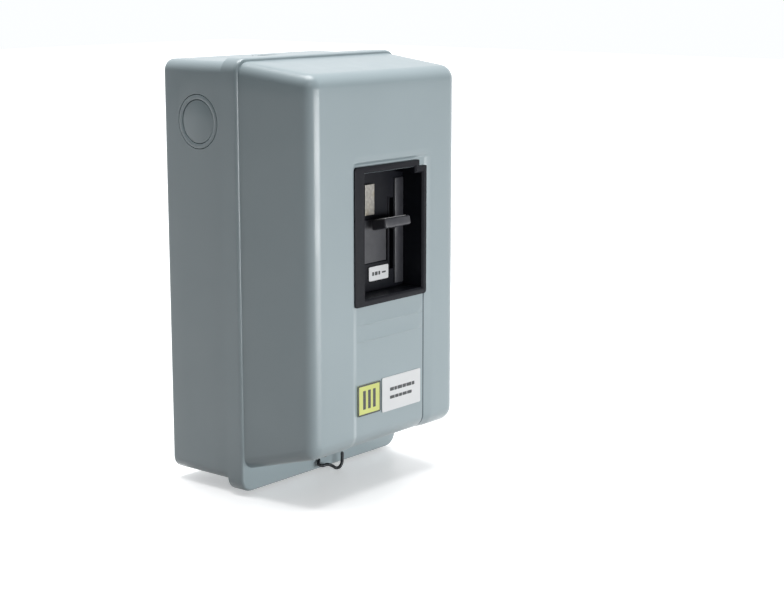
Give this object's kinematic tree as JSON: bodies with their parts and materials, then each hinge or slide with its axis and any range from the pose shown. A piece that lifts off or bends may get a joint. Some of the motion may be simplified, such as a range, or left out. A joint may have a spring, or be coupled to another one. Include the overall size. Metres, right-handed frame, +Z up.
{
  "type": "motor protection breaker",
  "caption": "Wall-mounted manual motor starter: grey steel box and lift-off cover with a black switch well, toggle lever, contacts and overload relay inside.",
  "frame": {"origin": "middle of the enclosure's flat back face, which lies against the wall", "axes": "+X to the right facing the front, -Y out of the wall towards the user, +Z up"},
  "size_m": [0.125, 0.1014, 0.226],
  "materials": {
    "grey_enamel": "semi-gloss baked enamel",
    "black_moulding": "moulded, fine texture",
    "brown_phenolic": "moulded phenolic",
    "zinc_steel": "zinc plated",
    "dark_steel": "oiled",
    "copper": "plain copper strip",
    "brass": "plain brass",
    "spring_steel": "drawn wire",
    "white_label": "printed film",
    "yellow_label": "printed film",
    "green_screw": "green lacquer"
  },
  "bodies": {
    "enclosure": {"back_box": "grey_enamel", "base_block": "brown_phenolic", "base_screw_1": "zinc_steel", "base_screw_2": "zinc_steel", "cover_catch": "zinc_steel", "frame_plate_left": "zinc_steel", "frame_plate_right": "zinc_steel", "front_housing": "black_moulding", "ground_screw": "green_screw", "heater_unit_1": "brown_phenolic", "heater_unit_2": "brown_phenolic", "heater_unit_3": "brown_phenolic", "knockout_bottom_disc": "grey_enamel", "knockout_bottom_ring": "grey_enamel", "knockout_left_disc": "grey_enamel", "knockout_left_ring": "grey_enamel", "knockout_right_disc": "grey_enamel", "knockout_right_ring": "grey_enamel", "knockout_top_disc": "grey_enamel", "knockout_top_ring": "grey_enamel", "lever_spring": "spring_steel", "line_contact_1": "copper", "line_contact_2": "copper", "line_contact_3": "copper", "line_screw_1": "brass", "line_screw_2": "brass", "line_screw_3": "brass", "load_contact_1": "copper", "load_contact_2": "copper", "load_contact_3": "copper", "load_screw_1": "brass", "load_screw_2": "brass", "load_screw_3": "brass", "load_terminal_1": "copper", "load_terminal_2": "copper", "load_terminal_3": "copper", "pivot_pin": "dark_steel", "relay_block": "black_moulding", "return_spring": "spring_steel", "well_label": "white_label"},
    "cover": {"front_cover": "grey_enamel", "bezel": "black_moulding", "data_label": "white_label", "phase_label": "yellow_label", "cover_hook": "dark_steel"},
    "cover_screw_body": {"cover_screw": "zinc_steel"},
    "lever": {"lever_arm": "dark_steel", "lever_paddle": "black_moulding", "drive_pin": "dark_steel"},
    "carrier": {"contact_carrier": "black_moulding", "contact_bridge_1": "copper", "contact_bridge_2": "copper", "contact_bridge_3": "copper", "contact_spring_1": "spring_steel", "contact_spring_2": "spring_steel", "contact_spring_3": "spring_steel"},
    "trip": {"trip_bar": "zinc_steel"},
    "lock": {"lock_tab": "zinc_steel"}
  },
  "joints": [
    {"name": "cover_lift", "type": "slide", "parent": "enclosure", "child": "cover", "axis": [0, -1, 0], "range_m": [0, 0.12]},
    {"name": "cover_screw_turn", "type": "hinge", "parent": "cover", "child": "cover_screw_body", "pos_m": [0, -0.0546, -0.1043], "axis": [0, -1, 0], "continuous": true},
    {"name": "lever_toggle", "type": "hinge", "parent": "enclosure", "child": "lever", "pos_m": [0, -0.057, 0.016], "axis": [-1, 0, 0], "range_deg": [-30, 0]},
    {"name": "carrier_slide", "type": "slide", "parent": "enclosure", "child": "carrier", "axis": [0, 0, 1], "range_m": [0, 0.0083], "deforming": ["return_spring"]},
    {"name": "trip_bar_turn", "type": "hinge", "parent": "enclosure", "child": "trip", "pos_m": [0, -0.05, -0.023], "axis": [1, 0, 0], "range_deg": [0, 10], "stiffness_Nm_per_rad": 0.02, "springref_deg": -17.19},
    {"name": "lock_tab_pull", "type": "slide", "parent": "enclosure", "child": "lock", "axis": [0, -1, 0], "range_m": [0, 0.01]}
  ],
  "couplings": [
    {"joint": "carrier_slide", "follows": "lever_toggle", "m_per_rad": -0.0158}
  ]
}
